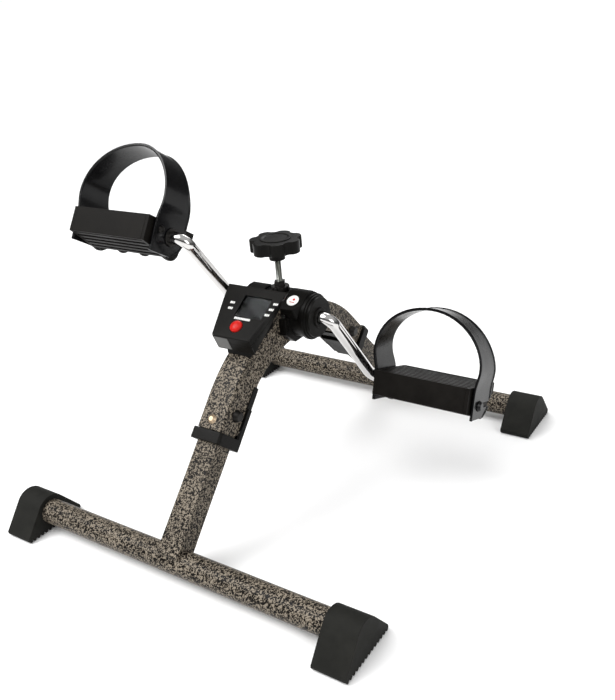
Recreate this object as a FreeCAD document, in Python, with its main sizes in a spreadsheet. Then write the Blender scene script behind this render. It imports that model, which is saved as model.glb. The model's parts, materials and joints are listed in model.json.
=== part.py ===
import FreeCAD, Part
import math
import os
import re

# Folding pedal exerciser: two hinged legs, a bent arch, a hub with cranks, pedals and a counter.
# X runs along the axle (right is +X), the front is -Y, Z is up and the floor is Z = 0.
# The origin is on the floor, under the middle of the hub.

SIZES = [
    ("overall_width", 400, "over the ends of the feet"),
    ("bar_spacing", 398, "between the two crossbar axes"),
    ("bar_height", 19, "crossbar axis above the floor"),
    ("bar_dia", 25, "crossbar tube"),
    ("tube_wall", 1.5, "wall of every frame tube"),
    ("leg_angle", 47, "leg above the floor, degrees"),
    ("leg_width", 24, "lower tube along X"),
    ("leg_depth", 22, "lower tube across the leg"),
    ("leg_offset", 4.5, "leg centreline outside the crossbar axis"),
    ("leg_start", 7, "lower tube's square end from the crossbar axis, along the leg"),
    ("weld_dia", 7, "weld bead under the leg"),
    ("arch_width", 28, "arch tube along X"),
    ("arch_depth", 30, "arch tube across its path"),
    ("arch_radius", 133, "bend of the arch, to its centreline"),
    ("pivot_dist", 141, "fold bolt from the crossbar, along the leg"),
    ("pivot_dia", 8, "fold bolt"),
    ("pivot_head", 13, "fold bolt head"),
    ("pivot_head_high", 5, "height of the fold bolt head"),
    ("run_gap", 0.1, "radial clearance of a turning fit"),
    ("slide_gap", 0.4, "clearance round the lock slide"),
    ("part_gap", 0.5, "gap between pieces that pass each other"),
    ("lock_start", 110, "lower edge of the lock ring, along the leg"),
    ("lock_high", 11, "height of the lock ring"),
    ("lock_width", 34.4, "lock ring along X"),
    ("lock_depth", 34, "lock ring across the leg"),
    ("tongue_above", 11, "lock tongue and cheeks past the fold bolt"),
    ("cover_above", 33, "hinge cover past the fold bolt"),
    ("cover_proud", 3.5, "hinge cover behind the arch"),
    ("cover_wall", 1.2, "hinge cover beside the arch"),
    ("cover_lap", 4, "hinge cover's lap on the arch sides"),
    ("cover_web", 23, "start of the hinge cover's web past the bolt"),
    ("notch_above", 35, "open back of the arch past the bolt"),
    ("stop_below", 10, "stop screw below the fold bolt"),
    ("stop_dia", 9, "stop screw head"),
    ("stop_high", 2.6, "stop screw head height"),
    ("foot_length", 32.7, "rubber foot along X"),
    ("foot_base", 68, "rubber foot along Y"),
    ("foot_round", 17.7, "rounded top of the foot"),
    ("foot_side", 5, "upright part of the foot's side"),
    ("foot_end", 3, "closed end of the foot"),
    ("tooth_count", 14, "teeth in the sole"),
    ("tooth_deep", 2.5, "depth of a tooth"),
    ("axle_height", 188.5, "crank axle above the floor"),
    ("sleeve_dia", 32, "hub sleeve"),
    ("sleeve_wall", 3, "hub sleeve wall"),
    ("sleeve_length", 58, "hub sleeve along X"),
    ("bush_length", 8, "axle bush inside the sleeve"),
    ("bush_flange", 2, "axle bush flange"),
    ("rod_dia", 12, "crank rod"),
    ("rod_bend", 12.5, "bend of the crank rod"),
    ("crank_radius", 100, "axle to pedal spindle"),
    ("crank_angle", 57.3, "right crank below the horizontal, to the rear"),
    ("crank_inner", 57, "first crank corner along X"),
    ("crank_outer", 68, "second crank corner along X"),
    ("coupler_dia", 18, "sleeve that joins the cranks"),
    ("coupler_length", 32, "sleeve that joins the cranks, along X"),
    ("magnet_dia", 4, "magnet on the coupler"),
    ("pad_dia", 14, "tension pad"),
    ("pad_rest", 1.6, "tension pad above the coupler"),
    ("pad_high", 6, "tension pad height"),
    ("block_width", 27, "tension block along X"),
    ("block_depth", 20, "tension block along Y"),
    ("block_top", 211, "top of the tension block"),
    ("stud_dia", 6.35, "tension stud"),
    ("nut_dia", 17, "flange nut"),
    ("nut_high", 10, "flange nut height"),
    ("knob_bottom", 252, "underside of the knob"),
    ("knob_high", 12.5, "height of the knob rim"),
    ("knob_dia", 52, "knob over its lobes"),
    ("knob_lobes", 7, "lobes of the knob"),
    ("collar_dia", 16, "collar under the knob"),
    ("collar_high", 9, "height of the collar"),
    ("housing_front", 20, "hub housing block ahead of and behind the axle"),
    ("housing_brow", 14, "lower edge of the hub housing's sloping facet above the axle"),
    ("housing_brow_out", 4, "that edge ahead of the block's front"),
    ("housing_rim", 3, "hub housing above the tension block"),
    ("housing_fall", 12, "drop of the hub housing's rear facet"),
    ("housing_end", 36, "outer end of the housing block along X"),
    ("housing_chamfer", 7, "cut corner of the housing block"),
    ("skirt_reach", 27, "hub housing skirt ahead of and behind the axle"),
    ("skirt_low", 25, "bottom of the hub housing skirt below the axle"),
    ("skirt_end", 22, "outer end of the skirt along X"),
    ("joint_gap", 0.3, "gap between pieces that stand still together"),
    ("drum_dia", 43, "hub housing drum"),
    ("ring_dia", 45, "steel ring between the arch and a housing"),
    ("ring_thick", 3.6, "steel ring along X"),
    ("boss_end", 45.5, "outer end of the hub housing along X"),
    ("badge_x", 24, "middle of the hub badge along X"),
    ("badge_thick", 0.3, "hub badge"),
    ("console_front", 85.2, "front top edge of the console ahead of the axle"),
    ("console_rear", 34.8, "rear top edge of the console ahead of the axle"),
    ("console_low", 194, "height of the front top edge"),
    ("console_high", 226, "height of the rear top edge"),
    ("console_near", 43, "width of the console at the front"),
    ("console_far", 70, "width of the console at the rear"),
    ("console_undercut", 7, "slope of the console's front face"),
    ("console_deep", 21, "console under its top, measured upright"),
    ("console_neck", 40, "neck that carries the console, along Y"),
    ("console_wall", 2.2, "console wall"),
    ("console_lid", 8, "depth of the upper case"),
    ("screen_x", 6.5, "middle of the screen along X"),
    ("screen_v", 37, "middle of the screen up the sloping top"),
    ("screen_width", 31, "screen opening along X"),
    ("screen_high", 24, "screen opening up the slope"),
    ("board_x", 3, "middle of the circuit board along X"),
    ("board_width", 38, "circuit board along X"),
    ("board_high", 28, "circuit board up the slope"),
    ("cell_dia", 11.6, "button cell"),
    ("cell_thick", 3.2, "button cell thickness"),
    ("cell_x", -10, "middle of the button cell along X"),
    ("label_width", 16, "front label along X"),
    ("label_high", 14, "height of the front label"),
    ("label_thick", 0.4, "front label"),
    ("label_left", 20, "left edge of the front label from the middle"),
    ("button_v", 13.3, "button up the sloping top"),
    ("button_dia", 12.5, "red button"),
    ("button_proud", 3.5, "red button above the top"),
    ("button_travel", 1.5, "stroke of the red button"),
    ("pedal_inner", 87.3, "inner end plate along X"),
    ("pedal_outer", 188.7, "outer end plate along X"),
    ("pedal_plate", 4, "thickness of an end plate"),
    ("pedal_pitch_left", 33, "toe-up angle of the left pedal, degrees"),
    ("pedal_pitch_right", 20, "toe-up angle of the right pedal, degrees"),
    ("pedal_front", 33, "pedal ahead of its spindle"),
    ("pedal_rear", 34, "pedal behind its spindle"),
    ("pedal_top", 13, "pedal top above its spindle"),
    ("pedal_low", 20, "lowest part of the pedal under its spindle"),
    ("slat_thick", 3, "thickness of a pedal slat"),
    ("spindle_boss", 19, "tube round the spindle in the pedal"),
    ("strap_thick", 2.6, "toe strap"),
    ("strap_rise", 83, "top of the toe strap above the spindle"),
    ("strap_spring", 30, "where the toe strap starts to bend over"),
    ("strap_bulge", 4.5, "toe strap outside the plates at its widest"),
    ("strap_width", 30, "toe strap at its crest"),
    ("strap_crest_left", -12, "left strap's crest outwards from the pedal's middle"),
    ("strap_crest_right", 4, "right strap's crest outwards from the pedal's middle"),
    ("strap_lean_left", 13, "left strap's crest ahead of the spindle"),
    ("strap_lean_right", 24, "right strap's crest ahead of the spindle"),
    ("strap_waist", 12, "where the strap leaves the end plates above the spindle"),
    ("strap_foot", 19, "foot of the strap below the spindle"),
    ("stud_head", 11, "strap stud head"),
    ("stud_neck", 4.8, "strap stud neck"),
    ("stud_ahead", 9, "strap stud ahead of the spindle"),
    ("stud_below", 6, "strap stud below the spindle"),
    ("screw_ahead", 16, "strap screw ahead of the spindle"),
    ("screw_above", 3.4, "strap screw above the spindle"),
    ("screw_dia", 4, "strap screw"),
    ("washer_dia", 18, "spindle washer"),
    ("washer_thick", 0.8, "spindle washer thickness"),
    ("slat_deep", 5, "pedal slat along Y"),
    ("slat_pitch", 8, "pedal slat spacing"),
    ("keel_deep", 4, "keel slat along Y"),
    ("keel_pitch", 7, "keel slat spacing"),
    ("rib_count", 4, "ribs under the pedal"),
]

doc = FreeCAD.newDocument("pedal_exerciser")
sheet = doc.addObject("Spreadsheet::Sheet", "sizes")
for row, (alias, value, note) in enumerate(SIZES, 1):
    sheet.set(f"A{row}", note)
    sheet.set(f"B{row}", str(value))
    sheet.setAlias(f"B{row}", alias)
doc.recompute()

WORDS = re.compile(r"\b(" + "|".join(alias for alias, value, note in SIZES) + r")\b")
size = {alias: float(sheet.get(alias)) for alias, value, note in SIZES}
nodes = []


def bind(obj, prop, text):
    """Tie a property to an expression of the sheet's sizes."""
    obj.setExpression(prop, WORDS.sub(r"sizes.\1", str(text)))


def place(obj, x=0, y=0, z=0, axis=(1, 0, 0), angle=0):
    """Put an object at expressions for its place and its turn about one axis."""
    obj.Placement = FreeCAD.Placement(FreeCAD.Vector(), FreeCAD.Rotation(FreeCAD.Vector(*axis), 1))
    for letter, text in zip("xyz", (x, y, z)):
        bind(obj, f"Placement.Base.{letter}", text)
    bind(obj, "Placement.Rotation.Angle", f"({angle}) * 1 deg")
    return obj


def box(dx, dy, dz, x=0, y=0, z=0):
    """A box centred on x and y, standing on z."""
    obj = doc.addObject("Part::Box", "box")
    for prop, text in zip(("Length", "Width", "Height"), (dx, dy, dz)):
        bind(obj, prop, text)
    return place(obj, f"({x}) - ({dx}) / 2", f"({y}) - ({dy}) / 2", z)


def rod_x(dia, length, x=0, y=0, z=0):
    """A cylinder along +X from x."""
    obj = doc.addObject("Part::Cylinder", "rod")
    bind(obj, "Radius", f"({dia}) / 2")
    bind(obj, "Height", length)
    return place(obj, x, y, z, (0, 1, 0), 90)


def rod_z(dia, length, x=0, y=0, z=0):
    """A cylinder along +Z from z."""
    obj = doc.addObject("Part::Cylinder", "post")
    bind(obj, "Radius", f"({dia}) / 2")
    bind(obj, "Height", length)
    return place(obj, x, y, z)


def rod_y(dia, length, x=0, y=0, z=0, way=1):
    """A cylinder along Y from y, forwards when way is -1."""
    obj = doc.addObject("Part::Cylinder", "pin")
    bind(obj, "Radius", f"({dia}) / 2")
    bind(obj, "Height", length)
    return place(obj, x, y, z, (1, 0, 0), -90 * way)


def dome_x(dia, high, x, way):
    """A screw head: a short cone along X."""
    obj = doc.addObject("Part::Cone", "dome")
    bind(obj, "Radius1", f"({dia}) / 2")
    bind(obj, "Radius2", f"({dia}) * 0.32")
    bind(obj, "Height", high)
    return place(obj, x, 0, 0, (0, 1, 0), 90 * way)


def solid(shape, name="shape"):
    obj = doc.addObject("Part::Feature", name)
    obj.Shape = shape
    return obj


def fuse(*parts):
    obj = doc.addObject("Part::MultiFuse", "fuse")
    obj.Shapes = list(parts)
    return obj


def cut(base, *tools):
    obj = doc.addObject("Part::Cut", "cut")
    obj.Base = base
    obj.Tool = tools[0] if len(tools) == 1 else fuse(*tools)
    return obj


def common(first, second):
    obj = doc.addObject("Part::MultiCommon", "common")
    obj.Shapes = [first, second]
    return obj


def node(label, obj):
    obj.Label = label
    nodes.append(obj)
    return obj


def outline(points, plane="YZ"):
    """A closed wire through (a, b) points in a plane; a three-point entry is an arc's middle and end."""
    def at(pair):
        a, b = pair
        return {"YZ": FreeCAD.Vector(0, a, b), "XZ": FreeCAD.Vector(a, 0, b),
                "XY": FreeCAD.Vector(a, b, 0)}[plane]
    edges = []
    here = points[0]
    for entry in points[1:] + [points[0]]:
        if len(entry) == 4:
            middle, end = entry[:2], entry[2:]
            edges.append(Part.Arc(at(here), at(middle), at(end)).toShape())
        else:
            end = entry
            edges.append(Part.makeLine(at(here), at(end)))
        here = end
    return Part.Wire(edges)


def slab(points, low, high, plane="YZ", inset=0):
    """A plate of an outline between two places along the plane's normal."""
    wire = outline(points, plane)
    if inset:
        wire = wire.makeOffset2D(-inset)
    normal = {"YZ": FreeCAD.Vector(1, 0, 0), "XZ": FreeCAD.Vector(0, 1, 0),
              "XY": FreeCAD.Vector(0, 0, 1)}[plane]
    face = Part.Face(wire)
    face.translate(normal * low)
    return face.extrude(normal * (high - low))


def padded(name, points, length):
    """A PartDesign body: an outline in the YZ plane padded along +X."""
    body = doc.addObject("PartDesign::Body", name)
    sketch = body.newObject("Sketcher::SketchObject", name + "_outline")
    plane = [o for o in body.Origin.OriginFeatures if o.Role == "YZ_Plane"][0]
    sketch.AttachmentSupport = [(plane, "")]
    sketch.MapMode = "FlatFace"
    turned = FreeCAD.Matrix(0, 1, 0, 0, 0, 0, 1, 0, 1, 0, 0, 0, 0, 0, 0, 1)
    for edge in outline(points).Edges:
        flat = edge.copy()
        flat.transformShape(turned)
        if isinstance(flat.Curve, Part.Line):
            ends = [vertex.Point for vertex in flat.Vertexes]
            sketch.addGeometry(Part.LineSegment(*ends))
        else:
            middle = flat.valueAt((flat.FirstParameter + flat.LastParameter) / 2)
            sketch.addGeometry(Part.Arc(flat.Vertexes[0].Point, middle, flat.Vertexes[-1].Point))
    pad = body.newObject("PartDesign::Pad", name + "_pad")
    pad.Profile = sketch
    bind(pad, "Length", length)
    return body


# ---------------------------------------------------------------- legs

def leg_place(obj, way):
    """Stand a piece drawn along +Z on its crossbar axis, leaning to the hub."""
    return place(obj, 0, f"{way} * bar_spacing / 2", "bar_height", (1, 0, 0), f"{way} * (90 - leg_angle)")


def leg_tube(name, way):
    """Lower tube: coped on the crossbar, round at the top about the fold bolt."""
    centre = f"{way} * leg_offset"
    outer = fuse(box("leg_width", "leg_depth", "pivot_dist - leg_start", 0, centre, "leg_start"),
                 rod_x("leg_depth", "leg_width", "-leg_width / 2", centre, "pivot_dist"))
    inner = fuse(box("leg_width - 2 * tube_wall", "leg_depth - 2 * tube_wall",
                     "pivot_dist + 2 * leg_depth", 0, centre, "-leg_depth"),
                 rod_x("leg_depth - 2 * tube_wall", "leg_width - 2 * tube_wall",
                       "tube_wall - leg_width / 2", centre, "pivot_dist"))
    tube = cut(outer, inner,
               rod_x("pivot_dia + 2 * run_gap", "leg_width * 2", "-leg_width", centre, "pivot_dist"))
    bead = rod_x("weld_dia", "leg_width", "-leg_width / 2", f"{way} * bar_dia * 0.52",
                 "leg_start - weld_dia * 0.3")
    return node(name, leg_place(cut(fuse(tube, bead), rod_x("bar_dia", "leg_width * 2", "-leg_width")),
                                way))


def crossbar(name, way):
    length = "(overall_width - 2 * foot_end)"
    tube = cut(rod_x("bar_dia", length, f"-{length} / 2"),
               rod_x("bar_dia - 2 * tube_wall", f"{length} * 2", f"-{length}"))
    return node(name, leg_place(tube, way))


def foot_outline():
    """Rounded top about the crossbar, upright sides and a toothed sole."""
    half = size["foot_base"] / 2
    floor = -size["bar_height"]
    shoulder = floor + size["foot_side"]
    top = size["foot_round"]
    reach = math.hypot(half, shoulder)
    turn = math.atan2(shoulder, half) + math.acos(top / reach)
    left = (-top * math.cos(turn), top * math.sin(turn))
    right = (-left[0], left[1])
    points = [(-half, shoulder), left, (0, top) + right, (half, shoulder)]
    pitch = size["foot_base"] / size["tooth_count"]
    for tooth in range(int(size["tooth_count"])):
        start = half - tooth * pitch
        points += [(start, floor + size["tooth_deep"]), (start - pitch * 0.3, floor),
                   (start - pitch * 0.6, floor)]
    points.append((-half, floor + size["tooth_deep"]))
    return points


def foot(name, way, side):
    """A rubber foot at one end of a crossbar; side is -1 left, 1 right."""
    body = padded(name + "_block", foot_outline(), "foot_length")
    start = "overall_width / 2 - foot_length" if side > 0 else "-overall_width / 2"
    place(body, start)
    bore = "-foot_length" if side > 0 else "foot_end"
    hole = rod_x("bar_dia", "2 * foot_length - foot_end", f"{start} + {bore}")
    shape = cut(body, hole)
    return node(name, place(shape, 0, f"{way} * bar_spacing / 2", "bar_height"))


def lock_slide(name, way):
    """Ring round the lower tube; a tongue up its inner side and a cheek on each side of the arch."""
    centre = f"{way} * leg_offset"
    ring = box("lock_width", "lock_depth", "lock_high", 0, centre, "lock_start")
    reach = "(arch_depth / 2 + slide_gap)"
    tongue = box("arch_width - 2 * tube_wall - 2 * part_gap", "cover_proud - slide_gap",
                 "pivot_dist + tongue_above - lock_start", 0,
                 f"{way} * (leg_offset - {reach} - (cover_proud - slide_gap) / 2)", "lock_start")
    lap = "(cover_lap + (lock_depth - arch_depth) / 2)"
    beside = f"{way} * (leg_offset - lock_depth / 2 + {lap} / 2)"
    long = "(pivot_dist + tongue_above - lock_start)"
    cheeks = cut(box("lock_width", lap, long, 0, beside, "lock_start"),
                 box("arch_width + 2 * cover_wall + 2 * slide_gap", "lock_depth", f"2 * {long}", 0, centre,
                     f"lock_start - {long}"))
    hole = box("leg_width + 2 * slide_gap", "leg_depth + 2 * slide_gap", "lock_high * 3",
               0, centre, "lock_start - lock_high")
    return node(name, leg_place(cut(fuse(ring, tongue, cheeks), hole), way))


def hinge_cover(name, way):
    """Fork on the back of the arch: two cheeks beside the tongue and a web above it."""
    def back(depth, from_back):
        return f"{way} * (leg_offset - arch_depth / 2 - cover_proud + ({from_back}) + ({depth}) / 2)"
    high = "cover_above + lock_high"
    low = "pivot_dist - lock_high"
    whole = box("arch_width + 2 * cover_wall", "cover_proud + cover_lap", high, 0,
                back("cover_proud + cover_lap", 0), low)
    tube = box("arch_width", "cover_lap * 2", f"2 * ({high})", 0, back("cover_lap * 2", "cover_proud"),
               f"{low} - lock_high")
    slot = box("arch_width - 2 * tube_wall - part_gap", "cover_proud * 2",
               f"lock_high + cover_web + lock_high", 0, back("cover_proud * 2", "-cover_proud / 2"),
               f"{low} - lock_high")
    swing = "2 * (pivot_dist - lock_start - lock_high - part_gap)"
    corner = cut(box("arch_width * 2", "arch_depth * 2", "lock_high * 2", 0, f"{way} * leg_offset",
                     f"{low} - lock_high"),
                 rod_x(swing, "arch_width * 3", "-arch_width * 1.5", f"{way} * leg_offset", "pivot_dist"))
    fork = leg_place(cut(whole, tube, slot, corner), way)
    return node(name, cut(fork, solid(arch_band(size["arch_depth"], size["arch_width"]))))


def fold_bolt(name, way):
    """Shank and right-hand head of the fold bolt."""
    shank = rod_x("pivot_dia", "arch_width", "-arch_width / 2")
    head = dome_x("pivot_head", "pivot_head_high", "arch_width / 2", 1)
    return node(name, bolt_place(fuse(shank, head), way))


def fold_nut(name, way):
    """Left-hand cap of the fold bolt."""
    cap = rod_x("pivot_head", "pivot_head_high * 0.4", "-arch_width / 2 - pivot_head_high * 0.4")
    top = dome_x("pivot_head", "pivot_head_high * 0.6", "-arch_width / 2 - pivot_head_high * 0.4", -1)
    return node(name, bolt_place(fuse(cap, top), way))


def bolt_place(obj, way):
    """Move a piece drawn about the bolt's own axis to the bolt."""
    lean = "leg_angle * 1 deg"
    return place(obj, 0,
                 f"{way} * (bar_spacing / 2 - pivot_dist * cos({lean}) + leg_offset * sin({lean}))",
                 f"bar_height + pivot_dist * sin({lean}) + leg_offset * cos({lean})")


def stop_screw(name, way):
    """Dome-headed screw in the outer wall of the arch."""
    face = f"{way} * (leg_offset + arch_depth / 2)"
    spot = "pivot_dist - stop_below"
    head = doc.addObject("Part::Cone", "head")
    bind(head, "Radius1", "stop_dia / 2")
    bind(head, "Radius2", "stop_dia / 4")
    bind(head, "Height", "stop_high")
    place(head, 0, face, spot, (1, 0, 0), -90 * way)
    shank = rod_y("stop_dia / 2", "tube_wall + part_gap", 0, face, spot, -way)
    return node(name, leg_place(fuse(head, shank), way))


# ---------------------------------------------------------------- arch and hub

def arch_frame():
    """Middle of the arch's bend, as a height on Y = 0."""
    lean = math.radians(size["leg_angle"])
    run = size["bar_spacing"] / 2
    return size["bar_height"] + (size["leg_offset"] + run * math.sin(lean)
                                 - size["arch_radius"]) / math.cos(lean)


def arch_band(depth, width):
    """Bent bar: straight along both legs, round over the top."""
    lean = math.radians(size["leg_angle"])
    low = size["lock_start"] + size["lock_high"] + size["part_gap"]
    middle = arch_frame()

    def leg_point(along, out, way):
        out = out + size["leg_offset"]
        return (way * (size["bar_spacing"] / 2 - along * math.cos(lean) + out * math.sin(lean)),
                size["bar_height"] + along * math.sin(lean) + out * math.cos(lean))

    def bend_point(radius, way):
        return (way * radius * math.sin(lean), middle + radius * math.cos(lean))

    outer = size["arch_radius"] + depth / 2
    inner = size["arch_radius"] - depth / 2
    points = [leg_point(low, depth / 2, -1), bend_point(outer, -1),
              (0, middle + outer) + bend_point(outer, 1), leg_point(low, depth / 2, 1),
              leg_point(low, -depth / 2, 1), bend_point(inner, 1),
              (0, middle + inner) + bend_point(inner, -1), leg_point(low, -depth / 2, -1)]
    return slab(points, -width / 2, width / 2)


def arch(name):
    """Arch tube with open backs, rounded lower corners, bolt holes and the sleeve's seat."""
    wall = size["tube_wall"]
    inside = arch_band(size["arch_depth"] - 2 * wall, size["arch_width"] - 2 * wall)
    ends = []
    tools = [solid(inside)]
    for way in (-1, 1):
        centre = f"{way} * leg_offset"
        back = box("arch_width - 2 * tube_wall", "arch_depth / 2", "notch_above + lock_high * 3", 0,
                   f"{way} * (leg_offset - arch_depth / 2)", "pivot_dist - lock_high * 3")
        swing = "2 * (pivot_dist - lock_start - lock_high - part_gap)"
        corner = cut(box("arch_width * 2", "arch_depth", "lock_high * 3", 0,
                         f"{way} * (leg_offset - arch_depth / 2)", "pivot_dist - lock_high * 3"),
                     rod_x(swing, "arch_width * 3", "-arch_width * 1.5", centre, "pivot_dist"))
        bolt = rod_x("pivot_dia", "arch_width * 2", "-arch_width", centre, "pivot_dist")
        stop = rod_y("stop_dia / 2", "tube_wall * 2", 0, f"{way} * (leg_offset + arch_depth / 2)",
                     "pivot_dist - stop_below", -way)
        ends.append(leg_place(fuse(back, corner, bolt, stop), way))
    tools += ends
    tools.append(rod_x("sleeve_dia", "arch_width * 2", "-arch_width", 0, "axle_height"))
    band = solid(arch_band(size["arch_depth"], size["arch_width"]))
    shape = cut(band, *tools)
    return node(name, shape)


def hub_sleeve(name):
    tube = cut(rod_x("sleeve_dia", "sleeve_length", "-sleeve_length / 2"),
               rod_x("sleeve_dia - 2 * sleeve_wall", "sleeve_length * 2", "-sleeve_length"),
               rod_z("pad_dia + 2 * slide_gap", "sleeve_dia"))
    return node(name, place(tube, 0, 0, "axle_height"))


def axle_bush(name, side):
    start = "sleeve_length / 2 - bush_length" if side > 0 else "-sleeve_length / 2"
    flange = "sleeve_length / 2" if side > 0 else "-sleeve_length / 2 - bush_flange"
    bush = cut(fuse(rod_x("sleeve_dia - 2 * sleeve_wall", "bush_length", start),
                    rod_x("sleeve_dia - sleeve_wall", "bush_flange", flange)),
               rod_x("rod_dia + 2 * run_gap", "sleeve_length * 2", "-sleeve_length"))
    return node(name, place(bush, 0, 0, "axle_height"))


def crank(name, side):
    """Bent rod: half of the axle, the arm and the pedal spindle, drawn hanging down."""
    bend = size["rod_bend"]
    radius = size["crank_radius"]
    end = size["pedal_outer"] - size["pedal_plate"] - size["part_gap"]
    corners = [FreeCAD.Vector(0, 0, 0), FreeCAD.Vector(size["crank_inner"], 0, 0),
               FreeCAD.Vector(size["crank_outer"], 0, -radius), FreeCAD.Vector(end, 0, -radius)]
    edges = []
    start = corners[0]
    for before, corner, after in zip(corners, corners[1:], corners[2:]):
        back = (before - corner).normalize()
        ahead = (after - corner).normalize()
        half = back.getAngle(ahead) / 2
        reach = bend / math.tan(half)
        first = corner + back * reach
        last = corner + ahead * reach
        middle = corner + (back + ahead).normalize() * (bend / math.sin(half) - bend)
        edges += [Part.makeLine(start, first), Part.Arc(first, middle, last).toShape()]
        start = last
    edges.append(Part.makeLine(start, corners[-1]))
    ring = Part.Wire([Part.makeCircle(size["rod_dia"] / 2, corners[0], FreeCAD.Vector(1, 0, 0))])
    rod = Part.Wire(edges).makePipeShell([ring], True, True)
    if side < 0:
        rod = rod.mirror(FreeCAD.Vector(), FreeCAD.Vector(1, 0, 0))
        rod = rod.mirror(FreeCAD.Vector(), FreeCAD.Vector(0, 0, 1))
    part = solid(rod, name)
    return node(name, place(part, 0, 0, "axle_height", (1, 0, 0), "90 - crank_angle"))


def axle_coupler(name):
    tube = cut(rod_x("coupler_dia", "coupler_length", "-coupler_length / 2"),
               rod_x("rod_dia", "coupler_length * 2", "-coupler_length"))
    return node(name, place(tube, 0, 0, "axle_height"))


def magnet(name):
    """Small magnet set on the coupler, beside the tension pad."""
    disc = cut(rod_z("magnet_dia", "coupler_dia / 2 + tube_wall", "coupler_length / 3"),
               rod_x("coupler_dia", "coupler_length * 2", "-coupler_length"))
    return node(name, place(disc, 0, 0, "axle_height", (1, 0, 0), 180))


def sensor(name):
    """Switch that the magnet passes, on the inner wall of the sleeve."""
    high = "(sleeve_dia / 2 - sleeve_wall)"
    body = common(rod_x(f"2 * {high}", "magnet_dia * 2", "coupler_length / 3 - magnet_dia"),
                  box("sleeve_length", "magnet_dia * 2", "sleeve_wall", 0, 0, f"-{high} - sleeve_wall / 2"))
    return node(name, place(body, 0, 0, "axle_height"))


def tension_pad(name):
    """Pad that the stud presses on the coupler."""
    low = "coupler_dia / 2 + pad_rest"
    pad = cut(rod_z("pad_dia", f"{low} + pad_high"),
              rod_x(f"2 * ({low})", "pad_dia * 2", "-pad_dia"))
    return node(name, place(pad, 0, 0, "axle_height"))


def tension_block(name):
    """Block on the sleeve that guides the pad and carries the flange nut."""
    block = cut(box("block_width", "block_depth", "block_top - axle_height"),
                rod_x("sleeve_dia", "block_width * 2", "-block_width"),
                solid(arch_cutter(), "arch_seat"),
                rod_z("pad_dia + 2 * slide_gap",
                      "coupler_dia / 2 + pad_rest + pad_high + 2 * pad_rest"),
                rod_z("stud_dia + 2 * run_gap", "block_top"))
    return node(name, place(block, 0, 0, "axle_height"))


def arch_cutter():
    shape = arch_band(size["arch_depth"], size["arch_width"])
    shape.translate(FreeCAD.Vector(0, 0, -size["axle_height"]))
    return shape


def flange_nut(name):
    flange = rod_z("nut_dia", "nut_high * 0.5")
    hexagon = doc.addObject("Part::Prism", "hexagon")
    hexagon.Polygon = 6
    bind(hexagon, "Circumradius", "nut_dia * 0.35")
    bind(hexagon, "Height", "nut_high")
    nut = cut(fuse(flange, hexagon), rod_z("stud_dia + 2 * run_gap", "nut_high * 3", 0, 0, "-nut_high"))
    return node(name, place(nut, 0, 0, "block_top"))


def tension_stud(name):
    low = "axle_height + coupler_dia / 2 + pad_rest + pad_high + 0.3"
    return node(name, rod_z("stud_dia", f"knob_bottom + knob_high / 2 - ({low})", 0, 0, low))


def knob(name):
    """Lobed knob with a collar, bored from below for the stud."""
    lobes = int(size["knob_lobes"])
    outer = size["knob_dia"] / 2
    step = 2 * math.pi / lobes
    points = []
    for lobe in range(lobes):
        turn = lobe * step
        rise = (outer * math.cos(turn - step * 0.27) * 0.955, outer * math.sin(turn - step * 0.27) * 0.955)
        tip = (outer * math.cos(turn), outer * math.sin(turn))
        fall = (outer * math.cos(turn + step * 0.27) * 0.955, outer * math.sin(turn + step * 0.27) * 0.955)
        hollow = (outer * 0.84 * math.cos(turn + step / 2), outer * 0.84 * math.sin(turn + step / 2))
        after = (outer * math.cos(turn + step * 0.73) * 0.955, outer * math.sin(turn + step * 0.73) * 0.955)
        points += ([rise] if lobe == 0 else []) + [tip + fall, hollow + after]
    wire = outline_arcs(points)
    head = Part.Face(wire).extrude(FreeCAD.Vector(0, 0, size["knob_high"]))
    lobed = solid(head, "lobes")
    place(lobed, 0, 0, "collar_high")
    shape = cut(fuse(lobed, rod_z("collar_dia", "collar_high * 1.2")),
                rod_z("stud_dia", "collar_high + knob_high / 2"))
    return node(name, place(shape, 0, 0, "knob_bottom - collar_high"))


def outline_arcs(points):
    """A closed XY wire whose last arc ends on the first point."""
    edges = []
    here = points[0]
    for entry in points[1:]:
        a, b, c = (FreeCAD.Vector(*pair, 0) for pair in (here, entry[:2], entry[2:]))
        edges.append(Part.Arc(a, b, c).toShape())
        here = entry[2:]
    return Part.Wire(edges)


def housing_top():
    """Top of the hub housings above the axle."""
    return size["block_top"] + size["housing_rim"] - size["axle_height"]


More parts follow.
